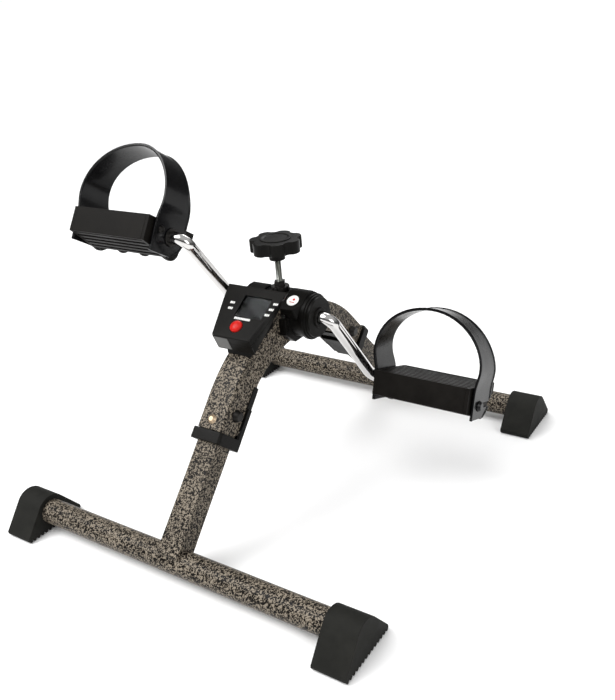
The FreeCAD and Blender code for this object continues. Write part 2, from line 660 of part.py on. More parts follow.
def hub_housing(name, side):
    """Black housing: block with a sloping facet, stepped drum and boss; drawn on the right."""
    gap = size["joint_gap"]
    inner = size["arch_width"] / 2 + gap
    top = housing_top()
    front, end = size["housing_front"], size["housing_end"]
    brow, brow_out = size["housing_brow"], size["housing_brow_out"]
    facet = [(-front, 0), (-front - brow_out, brow), (-brow_out, top), (brow_out, top),
             (front, top - size["housing_fall"]), (front, 0)]
    block = slab(facet, inner, end)
    chamfer = size["housing_chamfer"]
    corner = slab([(end, -2 * front), (end, brow_out - front), (end - chamfer, -front - brow_out),
                   (end - chamfer, -2 * front)], -brow, 2 * top, "XY")
    block = block.cut(corner)
    reach, low = size["skirt_reach"], size["skirt_low"]
    skirt = slab([(-reach, -low / 2), (-reach, brow_out), (reach, brow_out), (reach, -low / 2),
                  (low / 2, -low), (-low / 2, -low)], inner, size["skirt_end"])
    middle = FreeCAD.Vector(inner, 0, 0)
    along = FreeCAD.Vector(1, 0, 0)
    drum, boss_end = size["drum_dia"] / 2, size["boss_end"]
    step, bead = 1.5, 4
    rings = [(drum, inner, boss_end - step - bead + 1), (drum + step, end - 1, end + bead - 1),
             (drum - step, end, boss_end - step), (size["rod_dia"] - 2, end, boss_end)]
    shape = block.fuse(skirt)
    for radius, low, high in rings:
        start = FreeCAD.Vector(low, 0, 0)
        shape = shape.fuse(Part.makeCylinder(radius, high - low, start, along))
    sleeve = size["sleeve_length"] / 2
    bore = Part.makeCylinder(size["sleeve_dia"] / 2, sleeve - inner, middle, along)
    flange = Part.makeCylinder(size["sleeve_dia"] / 2, size["bush_flange"] + size["part_gap"],
                               FreeCAD.Vector(sleeve, 0, 0), along)
    way_out = Part.makeCylinder(size["rod_dia"] / 2 + size["part_gap"], 2 * boss_end, FreeCAD.Vector(), along)
    ring = Part.makeCylinder(size["ring_dia"] / 2 + gap, size["ring_thick"] + gap, middle, along)
    shape = shape.cut(bore.fuse(flange).fuse(way_out).fuse(ring)).removeSplitter()
    if side < 0:
        shape = shape.mirror(FreeCAD.Vector(), FreeCAD.Vector(1, 0, 0))
    return node(name, place(solid(shape, name), 0, 0, "axle_height"))


def hub_badge(name):
    """Round sticker on the right housing's facet."""
    slope = math.degrees(math.atan2(housing_top() - size["housing_brow"], size["housing_front"]))
    disc = rod_z("button_dia", "badge_thick")
    return node(name, place(disc, "badge_x", "-housing_front / 2 - housing_brow_out",
                            "axle_height + (block_top + housing_rim - axle_height + housing_brow) / 2",
                            (1, 0, 0), slope))


def hub_ring(name, side):
    """Steel ring on the sleeve between the arch and a housing."""
    start = "arch_width / 2 + joint_gap" if side > 0 else "-arch_width / 2 - joint_gap - ring_thick"
    ring = cut(rod_x("ring_dia", "ring_thick", start),
               rod_x("sleeve_dia", "sleeve_length * 2", "-sleeve_length"))
    return node(name, place(ring, 0, 0, "axle_height"))


# ---------------------------------------------------------------- console

def console_profile():
    """Side outline: sloping top, undercut front and a floor parallel to the top."""
    deep = size["console_deep"]
    slope = math.tan(math.radians(slope_angle()))
    toe = size["console_undercut"] * slope + size["console_low"] - deep
    return [(-size["console_front"], size["console_low"]),
            (size["console_undercut"] - size["console_front"], toe),
            (-size["console_rear"], size["console_high"] - deep),
            (-size["console_rear"], size["console_high"])]


def console_block(inset):
    """The console's body, or its cavity when inset is a wall: flared at the top, straight below."""
    wire = outline(console_profile())
    if inset:
        wire = wire.makeOffset2D(-inset)
    corners = sorted((vertex.Point for vertex in wire.Vertexes), key=lambda point: point.y)
    front_top, front_low = corners[:2]
    rear_low, rear_top = sorted(corners[2:], key=lambda point: point.z)
    near = size["console_near"] / 2 - inset
    far = size["console_far"] / 2 - inset

    def level(front, rear, half):
        ends = [(-near, front), (near, front), (half, rear), (-half, rear)]
        return Part.makePolygon([FreeCAD.Vector(x, at.y, at.z) for x, at in ends + ends[:1]])
    return Part.makeLoft([level(front_top, rear_top, far), level(front_low, rear_low, near)], True, True)


def console_foot():
    """Neck that stands on the arch under the console's floor."""
    radius = size["arch_radius"] + size["arch_depth"] / 2
    rear = -size["console_rear"]
    front = rear - size["console_neck"]
    floor = size["console_high"] - size["console_deep"]
    slope = math.tan(math.radians(slope_angle()))

    def seat(y):
        return arch_frame() + math.sqrt(radius ** 2 - y ** 2)
    half = (front + rear) / 2
    neck = [(front, seat(front)), (half, seat(half), rear, seat(rear)), (rear, floor),
            (front, floor + (front - rear) * slope)]
    return slab(neck, -size["arch_width"] / 2, size["arch_width"] / 2)


def slope_angle():
    return math.degrees(math.atan2(size["console_high"] - size["console_low"],
                                   size["console_front"] - size["console_rear"]))


def top_place(shape, x=0, v=0, deep=0):
    """Move a shape drawn on Z = 0 to the sloping top, v up the slope and deep under it."""
    turn = FreeCAD.Rotation(FreeCAD.Vector(1, 0, 0), slope_angle())
    base = FreeCAD.Vector(0, -size["console_front"], size["console_low"])
    shape.Placement = FreeCAD.Placement(base + turn.multVec(FreeCAD.Vector(x, v, -deep)), turn)
    return shape


def plate(dx, dv, thick, x, v, deep):
    """A plate parallel to the sloping top, deep to its underside."""
    shape = Part.makeBox(dx, dv, thick, FreeCAD.Vector(-dx / 2, -dv / 2, 0))
    return top_place(shape, x, v, deep)


def post(dia, high, x, v, deep):
    return top_place(Part.makeCylinder(dia / 2, high), x, v, deep)


def console_case(lower_name, upper_name):
    """Hollow case split parallel to its top, with openings for the screen and the button."""
    shell = console_block(0).cut(console_block(size["console_wall"]))
    lid = size["console_lid"]
    above = plate(200, 200, 200, 0, 0, lid)
    openings = plate(size["screen_width"], size["screen_high"], 20, size["screen_x"], size["screen_v"], 10)
    hole = post(size["button_dia"] + 2 * size["slide_gap"], 20, 0, size["button_v"], 10)
    upper = shell.common(above).cut(openings.fuse(hole))
    lower = shell.cut(above).fuse(console_foot()).removeSplitter()
    node(lower_name, solid(lower, lower_name))
    node(upper_name, solid(upper, upper_name))


def screen_parts():
    """Window, display module, circuit board and cell under the screen."""
    wall = size["console_wall"]
    wide, high = size["screen_width"], size["screen_high"]
    at = (size["screen_x"], size["screen_v"])
    glass, module, card, gap = 1.0, 2.5, 1.2, 0.2
    deep = wall + module + gap
    window = plate(wide, high, glass, *at, 2 * glass - gap)
    display = plate(wide + 2 * glass, high + 2 * glass, module, *at, deep)
    deep += card + gap
    board = plate(size["board_width"], size["board_high"], card, size["board_x"], size["screen_v"], deep)
    deep += size["cell_thick"] + gap
    cell = post(size["cell_dia"], size["cell_thick"], size["cell_x"], size["screen_v"], deep)
    for name, shape in (("screen_window", window), ("display_module", display),
                        ("circuit_board", board), ("button_cell", cell)):
        node(name, solid(shape, name))


def reset_button(name):
    """Domed red button with a collar that stops it inside the lid."""
    radius = size["button_dia"] / 2
    wall = size["console_wall"]
    dome = Part.makeSphere(radius * 1.45)
    dome.translate(FreeCAD.Vector(0, 0, size["button_proud"] - radius * 1.45))
    stem = Part.makeCylinder(radius, wall + 0.4 + size["button_proud"], FreeCAD.Vector(0, 0, -wall - 0.4))
    stem = stem.common(dome)
    collar = Part.makeCylinder(radius + 1.2, 1, FreeCAD.Vector(0, 0, -wall - 1.3))
    shape = stem.fuse(collar)
    return node(name, solid(top_place(shape, 0, size["button_v"], 0), name))


def console_label(name):
    """Silver label on the left of the undercut front face."""
    rise = size["console_low"] - console_profile()[1][1]
    slope = math.degrees(math.atan2(size["console_undercut"], rise))
    wide, high, thick = size["label_width"], size["label_high"], size["label_thick"]
    shape = Part.makeBox(wide, thick, high, FreeCAD.Vector(-size["label_left"], -thick, -2 - high))
    turn = FreeCAD.Rotation(FreeCAD.Vector(1, 0, 0), slope)
    shape.Placement = FreeCAD.Placement(
        FreeCAD.Vector(0, -size["console_front"], size["console_low"]), turn)
    return node(name, solid(shape, name))


# ---------------------------------------------------------------- pedals

def pedal_place(obj, side):
    """Put a piece drawn about the spindle on the crank's end, pitched toe-up."""
    pitch = "pedal_pitch_right" if side > 0 else "pedal_pitch_left"
    turn = "crank_angle * 1 deg"
    return place(obj, 0, f"{side} * crank_radius * cos({turn})",
                 f"axle_height - {side} * crank_radius * sin({turn})", (1, 0, 0), f"-{pitch}")


def handed(shape, side):
    """A shape drawn on the right, mirrored for the left."""
    return shape.mirror(FreeCAD.Vector(), FreeCAD.Vector(1, 0, 0)) if side < 0 else shape


def plate_outline():
    """End plate: tall front, keel under the spindle and a raised tail. Front is -Y."""
    front, rear = -size["pedal_front"], size["pedal_rear"]
    top, low = size["pedal_top"], -size["pedal_low"]
    return [(front, top), (front, -top + 1), (3, low), (14.5, low + 0.5, 19, low + 9),
            (22, -5), (rear, 3), (rear, top)]


def pedal_body(name, side):
    """Front wall, slatted tread and keel, ribs and a tube round the spindle."""
    low = size["pedal_inner"] + size["pedal_plate"]
    high = size["pedal_outer"] - size["pedal_plate"]
    thick = size["slat_thick"]
    front, rear, top = -size["pedal_front"], size["pedal_rear"], size["pedal_top"]
    parts = [slab([(front, top), (front, 1 - top), (front + thick, 1 - top), (front + thick, top)],
                  low, high)]
    deep = size["slat_deep"]
    deck = front + 2 * thick
    while deck < rear - deep:
        parts.append(slab([(deck, top), (deck, top - thick), (deck + deep, top - thick),
                           (deck + deep, top)], low, high))
        deck += size["slat_pitch"]
    drop = (size["pedal_low"] - top + 1) / (3 - front)
    keel = front + thick
    while keel < 0:
        edge = 1 - top - (keel - front) * drop
        end = keel + size["keel_deep"]
        far = edge - size["keel_deep"] * drop
        parts.append(slab([(keel, edge), (end, far), (end, far + thick), (keel, edge + thick)], low, high))
        keel += size["keel_pitch"]
    parts.append(slab([(rear - thick, 4), (rear, 4), (rear, top), (rear - thick, top)], low, high))
    ribs = int(size["rib_count"])
    for rib in range(ribs):
        start = low + rib * (high - low - thick) / (ribs - 1)
        parts.append(slab(plate_outline(), start, start + thick, inset=1))
    along = FreeCAD.Vector(1, 0, 0)
    parts.append(Part.makeCylinder(size["spindle_boss"] / 2, high - low, FreeCAD.Vector(low, 0, 0), along))
    shape = parts[0].fuse(parts[1:])
    bore = Part.makeCylinder(size["rod_dia"] / 2 + size["run_gap"], high, FreeCAD.Vector(), along)
    shape = shape.cut(bore).removeSplitter()
    return node(name, pedal_place(solid(handed(shape, side), name), side))


def end_plate(name, side, outer):
    """Plate at one end of the pedal, bored for the spindle on the crank side."""
    start = size["pedal_outer"] - size["pedal_plate"] if outer else size["pedal_inner"]
    shape = slab(plate_outline(), start, start + size["pedal_plate"])
    if not outer:
        along = FreeCAD.Vector(1, 0, 0)
        shape = shape.cut(Part.makeCylinder(size["rod_dia"] / 2 + size["run_gap"],
                                            start + 2 * size["pedal_plate"], FreeCAD.Vector(), along))
    return node(name, pedal_place(solid(handed(shape, side), name), side))


def strap_side(lean):
    """Edge outline of the strap seen along X: wide ends, leaning forward to its crest."""
    rise = size["strap_rise"] + 4
    half = size["strap_width"] / 2
    return [(-25, -19), (-26, 10), (-24 - lean * 0.2, 42), (-lean - half, rise), (half - lean, rise),
            (half - 2 - lean * 0.4, 48), (17, 18), (20, -4), (14, -15, 4, -19)]


def toe_strap(name, side):
    """Band over the foot with a spindle hole inside and a hooked slot outside."""
    thick = size["strap_thick"]
    gap = size["joint_gap"]
    low, high = size["pedal_inner"] - thick - gap, size["pedal_outer"] + gap
    foot, waist = -size["strap_foot"], size["strap_waist"]
    hand = "right" if side > 0 else "left"
    crest = (low + thick + high) / 2 + size[f"strap_crest_{hand}"]
    spring = size["strap_spring"]
    bulge = size["strap_bulge"]

    def quarter(reach, rise, way):
        """Quarter of an ellipse from the side at the spring height up to the crest."""
        long, short = max(reach, rise), min(reach, rise)
        curve = Part.Ellipse(FreeCAD.Vector(), long, short)
        start = 0 if reach > rise else -math.pi / 2
        arc = Part.ArcOfEllipse(curve, start, start + math.pi / 2).toShape()
        if reach <= rise:
            arc.rotate(FreeCAD.Vector(), FreeCAD.Vector(0, 0, 1), 90)
        if way < 0:
            arc = arc.mirror(FreeCAD.Vector(), FreeCAD.Vector(1, 0, 0))
        arc.rotate(FreeCAD.Vector(), FreeCAD.Vector(1, 0, 0), 90)
        arc.translate(FreeCAD.Vector(crest, 0, spring))
        return arc

    def bow(inside):
        grow = 0 if inside else thick
        rise = size["strap_rise"] - spring - thick + grow
        out = high + bulge + grow - crest
        back = crest - (low + thick - bulge - grow)
        foot_in = FreeCAD.Vector(low + thick - grow, 0, waist)
        foot_out = FreeCAD.Vector(high + grow, 0, waist)
        side_in = FreeCAD.Vector(crest - back, 0, spring)
        side_out = FreeCAD.Vector(crest + out, 0, spring)
        down_in = FreeCAD.Vector(foot_in.x, 0, foot)
        down_out = FreeCAD.Vector(foot_out.x, 0, foot)
        return Part.Wire(Part.__sortEdges__([
            Part.makeLine(down_in, foot_in), Part.makeLine(foot_in, side_in), quarter(back, rise, -1),
            quarter(out, rise, 1), Part.makeLine(side_out, foot_out), Part.makeLine(foot_out, down_out),
            Part.makeLine(down_out, down_in)]))
    far = size["pedal_outer"]
    deep = FreeCAD.Vector(0, far, 0)
    band = Part.Face(bow(False)).extrude(deep).cut(Part.Face(bow(True)).extrude(deep))
    band.translate(FreeCAD.Vector(0, -far / 2, 0))
    shape = band.common(slab(strap_side(size[f"strap_lean_{hand}"]), 0, 2 * far))
    along = FreeCAD.Vector(1, 0, 0)
    spindle = Part.makeCylinder(size["rod_dia"] / 2 + 1, crest, FreeCAD.Vector(), along)
    ahead, level = -size["stud_ahead"], -size["stud_below"]
    slack = 0.2
    half = size["stud_neck"] / 2 + slack
    pin = Part.makeCylinder(half, 2 * thick, FreeCAD.Vector(high - gap, ahead, level), along)
    screw = Part.makeCylinder(size["screw_dia"] / 2 + slack, 4 * thick,
                              FreeCAD.Vector(low - thick, -size["screw_ahead"], size["screw_above"]), along)
    throat, mouth = size["pedal_front"] / 2, size["pedal_front"]
    slot = slab([(ahead, level + half), (throat, level + half), (throat, level + 2 * half),
                 (mouth, level + 2 * half), (mouth, level - half), (ahead, level - half)],
                high - gap, high + 2 * thick)
    shape = shape.cut(spindle.fuse(pin).fuse(screw).fuse(slot))
    return node(name, pedal_place(solid(handed(shape, side), name), side))


def strap_screw(name, side):
    """Screw that holds the strap's inner end to the crank-side plate."""
    along = FreeCAD.Vector(-1, 0, 0)
    reach = size["strap_thick"] + size["joint_gap"]
    wide, y, z = size["screw_dia"], -size["screw_ahead"], size["screw_above"]
    head = Part.makeCone(wide, wide * 0.65, wide * 0.6, FreeCAD.Vector(size["pedal_inner"] - reach, y, z),
                         along)
    shank = Part.makeCylinder(wide / 2, reach, FreeCAD.Vector(size["pedal_inner"], y, z), along)
    shape = head.fuse(shank)
    return node(name, pedal_place(solid(handed(shape, side), name), side))


def strap_stud(name, side):
    """Headed pin on the outer plate for the strap's slot."""
    along = FreeCAD.Vector(1, 0, 0)
    start = FreeCAD.Vector(size["pedal_outer"], -size["stud_ahead"], -size["stud_below"])
    thick = size["strap_thick"]
    neck = Part.makeCylinder(size["stud_neck"] / 2, thick + 1, start, along)
    head = Part.makeCone(size["stud_head"] / 2, size["stud_head"] / 3, thick,
                         start + along * (thick + 2 * size["joint_gap"]), along)
    shape = neck.fuse(head)
    return node(name, pedal_place(solid(handed(shape, side), name), side))


def spindle_washer(name, side):
    """Washer on the rod between its bend and the strap."""
    along = FreeCAD.Vector(1, 0, 0)
    thick = size["washer_thick"]
    start = size["pedal_inner"] - size["strap_thick"] - 2 * size["joint_gap"] - thick
    ring = Part.makeCylinder(size["washer_dia"] / 2, thick, FreeCAD.Vector(start, 0, 0), along)
    ring = ring.cut(Part.makeCylinder(size["rod_dia"] / 2, 2 * start, FreeCAD.Vector(), along))
    return node(name, pedal_place(solid(handed(ring, side), name), side))


for way, end in ((-1, "front"), (1, "rear")):
    leg_tube(f"{end}_leg_tube", way)
    crossbar(f"{end}_crossbar", way)
    foot(f"{end}_foot_left", way, -1)
    foot(f"{end}_foot_right", way, 1)
    lock_slide(f"{end}_lock_slide", way)
    hinge_cover(f"{end}_hinge_cover", way)
    fold_bolt(f"{end}_fold_bolt", way)
    fold_nut(f"{end}_fold_nut", way)
    stop_screw(f"{end}_stop_screw", way)

arch("arch")
hub_sleeve("hub_sleeve")
axle_coupler("axle_coupler")
magnet("counter_magnet")
sensor("counter_sensor")
tension_pad("tension_pad")
tension_block("tension_block")
flange_nut("flange_nut")
tension_stud("tension_stud")
knob("tension_knob")
hub_badge("hub_badge")
console_case("console_lower_case", "console_upper_case")
screen_parts()
reset_button("reset_button")
console_label("console_label")

for side, hand in ((-1, "left"), (1, "right")):
    axle_bush(f"axle_bush_{hand}", side)
    hub_ring(f"hub_ring_{hand}", side)
    hub_housing(f"hub_housing_{hand}", side)
    crank(f"crank_{hand}", side)
    spindle_washer(f"spindle_washer_{hand}", side)
    pedal_body(f"pedal_body_{hand}", side)
    end_plate(f"pedal_inner_plate_{hand}", side, False)
    end_plate(f"pedal_outer_plate_{hand}", side, True)
    toe_strap(f"toe_strap_{hand}", side)
    strap_screw(f"strap_screw_{hand}", side)
    strap_stud(f"strap_stud_{hand}", side)

doc.recompute()
for obj in doc.Objects:
    if "Invalid" in obj.State or "Error" in obj.State:
        raise RuntimeError(f"{obj.Name} ({obj.Label}) failed: {obj.State}")
os.makedirs("parts", exist_ok=True)
for obj in nodes:
    if obj.Shape.isNull() or not obj.Shape.isValid():
        raise RuntimeError(f"{obj.Label} has no valid shape")
    obj.Shape.exportStep(f"parts/{obj.Label}.step")
print(len(nodes), "nodes")
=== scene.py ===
import json
import math

import bmesh
import bpy
from mathutils import Matrix, Vector


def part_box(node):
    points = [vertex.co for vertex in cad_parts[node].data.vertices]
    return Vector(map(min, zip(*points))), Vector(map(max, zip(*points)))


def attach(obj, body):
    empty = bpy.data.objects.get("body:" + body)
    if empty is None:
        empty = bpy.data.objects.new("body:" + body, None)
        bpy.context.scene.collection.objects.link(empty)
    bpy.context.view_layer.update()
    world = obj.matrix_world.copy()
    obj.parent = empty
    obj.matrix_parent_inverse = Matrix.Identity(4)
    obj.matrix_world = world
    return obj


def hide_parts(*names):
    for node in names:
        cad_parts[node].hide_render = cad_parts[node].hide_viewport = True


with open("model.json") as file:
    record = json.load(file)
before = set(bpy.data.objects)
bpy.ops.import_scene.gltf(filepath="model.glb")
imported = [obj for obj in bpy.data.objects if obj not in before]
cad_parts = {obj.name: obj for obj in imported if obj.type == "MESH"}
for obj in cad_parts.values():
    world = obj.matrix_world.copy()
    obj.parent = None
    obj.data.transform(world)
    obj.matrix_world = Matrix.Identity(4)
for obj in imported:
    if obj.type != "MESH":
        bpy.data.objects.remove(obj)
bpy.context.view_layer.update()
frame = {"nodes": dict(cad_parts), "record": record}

BODY_OF = {node: body for body, nodes in frame["record"]["behaviour"]["bodies"].items()
           for node in nodes}
SLOT_OF = {row["node"]: row["material_slot"] for row in frame["record"]["subparts"]}
HANDS = {"left": -1, "right": 1}
ENDS = {"front": -1, "rear": 1}
MM = 0.001

# Sizes of the object that several pieces are set out from, in metres. X runs across the
# exerciser to the right, Y from the front crossbar to the rear one, Z up from the floor.
AXLE = Vector((0, 0, 0.1885))
CRANK_RADIUS = 0.1  # axle to pedal spindle
CRANK_ANGLE = 57.3  # degrees, the right crank below level and to the rear
CRANK_TURN = math.radians(90 - CRANK_ANGLE)
PEDAL_PITCH = {"left": math.radians(33), "right": math.radians(20)}  # toe up
LEG_LEAN = math.radians(47)  # up from the floor
LEG_OFFSET = 0.0045  # leg's middle line outside the crossbar's axis
BAR_SPACING = 0.398  # crossbar to crossbar
BAR_HEIGHT = 0.019  # crossbar's axis above the floor
ARCH_RADIUS = 0.133  # bend of the arch, to its middle line
BEND_HEIGHT = BAR_HEIGHT + (LEG_OFFSET + BAR_SPACING / 2 * math.sin(LEG_LEAN)
                            - ARCH_RADIUS) / math.cos(LEG_LEAN)
ARCH_MOUTH = 0.123  # up a leg, the arch's open ends stay square below this
CONSOLE_EDGE = Vector((0, -0.0852, 0.194))  # middle of the front edge of its top
CONSOLE_RISE, CONSOLE_RUN = 226 - 194, 85.2 - 34.8
CONSOLE_SLOPE = math.atan2(CONSOLE_RISE, CONSOLE_RUN)
BADGE_RISE, BADGE_RUN = 25.5 - 14, 20
BADGE_SLOPE = math.atan2(BADGE_RISE, BADGE_RUN)
STUD_RADIUS = 0.003175
STUD_PITCH = 0.00127  # one turn of its thread

# Shape of the toe straps over the shoe, in millimetres: how far the crest stands outwards
# from the pedal's middle, and how far it stands ahead of the spindle.
STRAP_CREST = {"left": -12, "right": 4}
STRAP_LEAN = {"left": 13, "right": 24}


# ---------------------------------------------------------------- working by hand

def take(piece):
    """Leave one piece selected and active."""
    bpy.ops.object.select_all(action="DESELECT")
    piece.select_set(True)
    bpy.context.view_layer.objects.active = piece
    return piece


def fresh():
    """The primitive just added, with everything else deselected."""
    return take(bpy.context.object)


def block(size, place, turn=(0, 0, 0)):
    """A box given its size, place and turn, none of them in its mesh yet."""
    bpy.ops.mesh.primitive_cube_add(size=1)
    made = fresh()
    made.scale = size
    made.rotation_euler = turn
    made.location = place
    return made


def fix_place():
    """Put the taken piece's place, turn and size into its mesh."""
    bpy.ops.object.transform_apply(location=True, rotation=True, scale=True)


def fix_size():
    """Put the taken piece's size alone into its mesh."""
    bpy.ops.object.transform_apply(location=False, rotation=False, scale=True)


def pick(piece, kind, test):
    """Enter edit mode with the faces, edges or vertices that pass a test selected."""
    take(piece)
    bpy.ops.object.mode_set(mode="EDIT")
    bpy.ops.mesh.select_mode(type=kind)
    bpy.ops.mesh.select_all(action="DESELECT")
    mesh = bmesh.from_edit_mesh(piece.data)
    mesh.normal_update()
    parts = {"FACE": mesh.faces, "EDGE": mesh.edges, "VERT": mesh.verts}[kind]
    for part in [part for part in parts if test(part)]:
        part.select_set(True)
    bmesh.update_edit_mesh(piece.data)


def every(part):
    """The test that picks all of a mesh."""
    return True


def leave():
    """Leave edit mode."""
    bpy.ops.object.mode_set(mode="OBJECT")


def modify(piece, kind, **settings):
    """Add a modifier and apply it."""
    take(piece)
    made = piece.modifiers.new(kind.lower(), kind)
    for name, value in settings.items():
        setattr(made, name, value)
    bpy.ops.object.modifier_apply(modifier=made.name)


def ease(piece, width, segments=2, angle=30):
    """Round every edge sharper than an angle."""
    modify(piece, "BEVEL", width=width, segments=segments, limit_method="ANGLE",
           angle_limit=math.radians(angle), use_clamp_overlap=False, miter_outer="MITER_ARC")


def repeat(piece, count, step):
    """Set copies of a piece in a row along X."""
    modify(piece, "ARRAY", count=count, use_relative_offset=False, use_constant_offset=True,
           constant_offset_displace=(step, 0, 0))


def scoop(piece, cutter):
    """Take a cutter's shape out of a piece and throw the cutter away."""
    modify(piece, "BOOLEAN", object=cutter, operation="DIFFERENCE", solver="EXACT")
    take(cutter)
    bpy.ops.object.delete()


def join(pieces, name):
    """One piece made of several."""
    take(pieces[0])
    for other in pieces[1:]:
        other.select_set(True)
    bpy.ops.object.join()
    pieces[0].name = name
    return pieces[0]


def settle(piece, body, slot, *stands_for, smooth=35):
    """Apply a finished piece's place, give it its finish and put it on its body."""
    take(piece)
    fix_place()
    bpy.ops.object.shade_smooth_by_angle(angle=math.radians(smooth))
    modify(piece, "WEIGHTED_NORMAL", keep_sharp=True)
    piece.data.materials.clear()
    piece.data.materials.append(FINISH[slot])
    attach(piece, body)
    if stands_for:
        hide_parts(*stands_for)


def copied(node, name):
    """A new piece with a node's mesh, its triangles merged back into flat faces."""
    piece = frame["nodes"][node].copy()
    piece.data = piece.data.copy()
    for key in list(piece.keys()):
        del piece[key]
    piece.parent = None
    piece.name = name
    bpy.context.scene.collection.objects.link(piece)
    take(piece)
    bpy.ops.mesh.customdata_custom_splitnormals_clear()
    pick(piece, "VERT", every)
    bpy.ops.mesh.remove_doubles(threshold=0.001 * MM)
    bpy.ops.mesh.dissolve_limited(angle_limit=math.radians(0.6))
    leave()
    return piece


def stand_in(node, name, width):
    """A node's own shape with its edges eased."""
    piece = copied(node, name)
    if width:
        ease(piece, width)
    settle(piece, BODY_OF[node], SLOT_OF[node], node)


def turned(vector, angle):
    """A vector turned about X."""
    return Matrix.Rotation(angle, 3, "X") @ Vector(vector)


# ---------------------------------------------------------------- finishes

FINISH = {}

# A colour Mix node has its two colours and its result at these sockets.
MIX_FIRST, MIX_SECOND, MIX_RESULT = 6, 7, 2


class Finish:
    """A surface built on one Principled shader, patterned on Object coordinates."""

    def __init__(self, slot, colour, rough, metal=0.0, **sockets):
        self.material = bpy.data.materials.new(slot)
        self.material.use_nodes = True
        self.tree = self.material.node_tree
        self.shader = self.tree.nodes["Principled BSDF"]
        self.shader.inputs["Base Color"].default_value = (*colour, 1)
        self.shader.inputs["Roughness"].default_value = rough
        self.shader.inputs["Metallic"].default_value = metal
        for name, value in sockets.items():
            self.shader.inputs[name.replace("_", " ")].default_value = value
        self.where = self.tree.nodes.new("ShaderNodeTexCoord").outputs["Object"]
        self.normal = None
        FINISH[slot] = self.material

    def link(self, start, end):
        self.tree.links.new(start, end)

    def stretched(self, scale):
        """Object coordinates with a scale for each axis."""
        node = self.tree.nodes.new("ShaderNodeMapping")
        node.inputs["Scale"].default_value = scale
        self.link(self.where, node.inputs["Vector"])
        return node.outputs["Vector"]

    def noise(self, scale, detail=2.0, rough=0.5, twist=0.0, where=None):
        """Cloudy noise, from 0 to 1."""
        node = self.tree.nodes.new("ShaderNodeTexNoise")
        node.inputs["Scale"].default_value = scale
        node.inputs["Detail"].default_value = detail
        node.inputs["Roughness"].default_value = rough
        node.inputs["Distortion"].default_value = twist
        self.link(where or self.where, node.inputs["Vector"])
        return node.outputs["Fac"]

    def cells(self, scale):
        """Pebbled cells, as of a moulding's grain."""
        node = self.tree.nodes.new("ShaderNodeTexVoronoi")
        node.inputs["Scale"].default_value = scale
        self.link(self.where, node.inputs["Vector"])
        return node.outputs["Distance"]

    def ramp(self, value, *stops):
        """Colours laid along a value, each stop a place and a colour."""
        node = self.tree.nodes.new("ShaderNodeValToRGB")
        marks = node.color_ramp.elements
        while len(marks) < len(stops):
            marks.new(0.5)
        for mark, (place, colour) in zip(marks, stops):
            mark.position = place
            mark.color = (*colour, 1)
        self.link(value, node.inputs["Fac"])
        return node.outputs["Color"]

    def span(self, value, low, high, start, end):
        """A value mapped from one range to another."""
        node = self.tree.nodes.new("ShaderNodeMapRange")
        for name, number in (("From Min", low), ("From Max", high),
                             ("To Min", start), ("To Max", end)):
            node.inputs[name].default_value = number
        self.link(value, node.inputs["Value"])
        return node.outputs["Result"]

    def toned(self, share, pattern, tone):
        """A patterned colour pulled by a share towards one plain tone."""
        node = self.tree.nodes.new("ShaderNodeMix")
        node.data_type = "RGBA"
        self.link(share, node.inputs["Factor"])
        self.link(pattern, node.inputs[MIX_FIRST])
        node.inputs[MIX_SECOND].default_value = (*tone, 1)
        return node.outputs[MIX_RESULT]

    def set(self, name, value):
        """Feed one of the shader's sockets."""
        self.link(value, self.shader.inputs[name])

    def bump(self, height, distance, strength=1.0):
        """Raise the surface by a pattern, on top of any bump that it has."""
        node = self.tree.nodes.new("ShaderNodeBump")
        node.inputs["Distance"].default_value = distance
        node.inputs["Strength"].default_value = strength
        self.link(height, node.inputs["Height"])
        if self.normal:
            self.link(self.normal, node.inputs["Normal"])
        self.normal = node.outputs["Normal"]
        self.link(self.normal, self.shader.inputs["Normal"])


def hammered_paint():
    """Silver-vein paint: a near-black ground broken by warm, worm-like flecks."""
    ground, rim = (0.003, 0.0022, 0.0017), (0.03, 0.025, 0.020)
    fleck, glint = (0.135, 0.112, 0.086), (0.240, 0.205, 0.160)
    finish = Finish("hammered_paint", (0.05, 0.045, 0.04), 0.4, Specular_IOR_Level=0.08)
    veins = finish.noise(600, 0.6, 0.5, 1.0)
    cloud = finish.noise(35, 2, 0.5)
    flecks = finish.ramp(veins, (0.485, ground), (0.505, rim), (0.52, fleck), (0.60, glint))
    share = finish.span(cloud, 0.3, 0.7, 0.0, 0.18)
    finish.set("Base Color", finish.toned(share, flecks, (0.02, 0.018, 0.016)))
    finish.set("Roughness", finish.span(veins, 0.42, 0.62, 0.3, 0.5))
    finish.bump(veins, 0.6 * MM, 0.4)


def foot_rubber():
    """Dull black rubber with a little dust and a fine tooth."""
    clean, dusty = (0.0075, 0.0075, 0.0063), (0.015, 0.015, 0.013)
    finish = Finish("foot_rubber", (0.012, 0.012, 0.011), 0.72, Specular_IOR_Level=0.12)
    dust = finish.noise(60, 4, 0.6)
    finish.set("Base Color", finish.ramp(dust, (0.35, clean), (0.7, dusty)))
    finish.set("Roughness", finish.span(dust, 0.3, 0.7, 0.6, 0.8))
    finish.bump(finish.noise(1800), 0.2 * MM, 0.35)


def moulded(slot, dark, light, rough, grain, deep):
    """Moulded plastic with a fine grain and a little uneven gloss."""
    finish = Finish(slot, dark, rough, Specular_IOR_Level=0.08)
    cloud = finish.noise(45, 3, 0.6)
    finish.set("Base Color", finish.ramp(cloud, (0.35, dark), (0.68, light)))
    finish.set("Roughness", finish.span(cloud, 0.3, 0.7, rough - 0.05, rough + 0.07))
    finish.bump(finish.cells(grain), deep, 0.5)


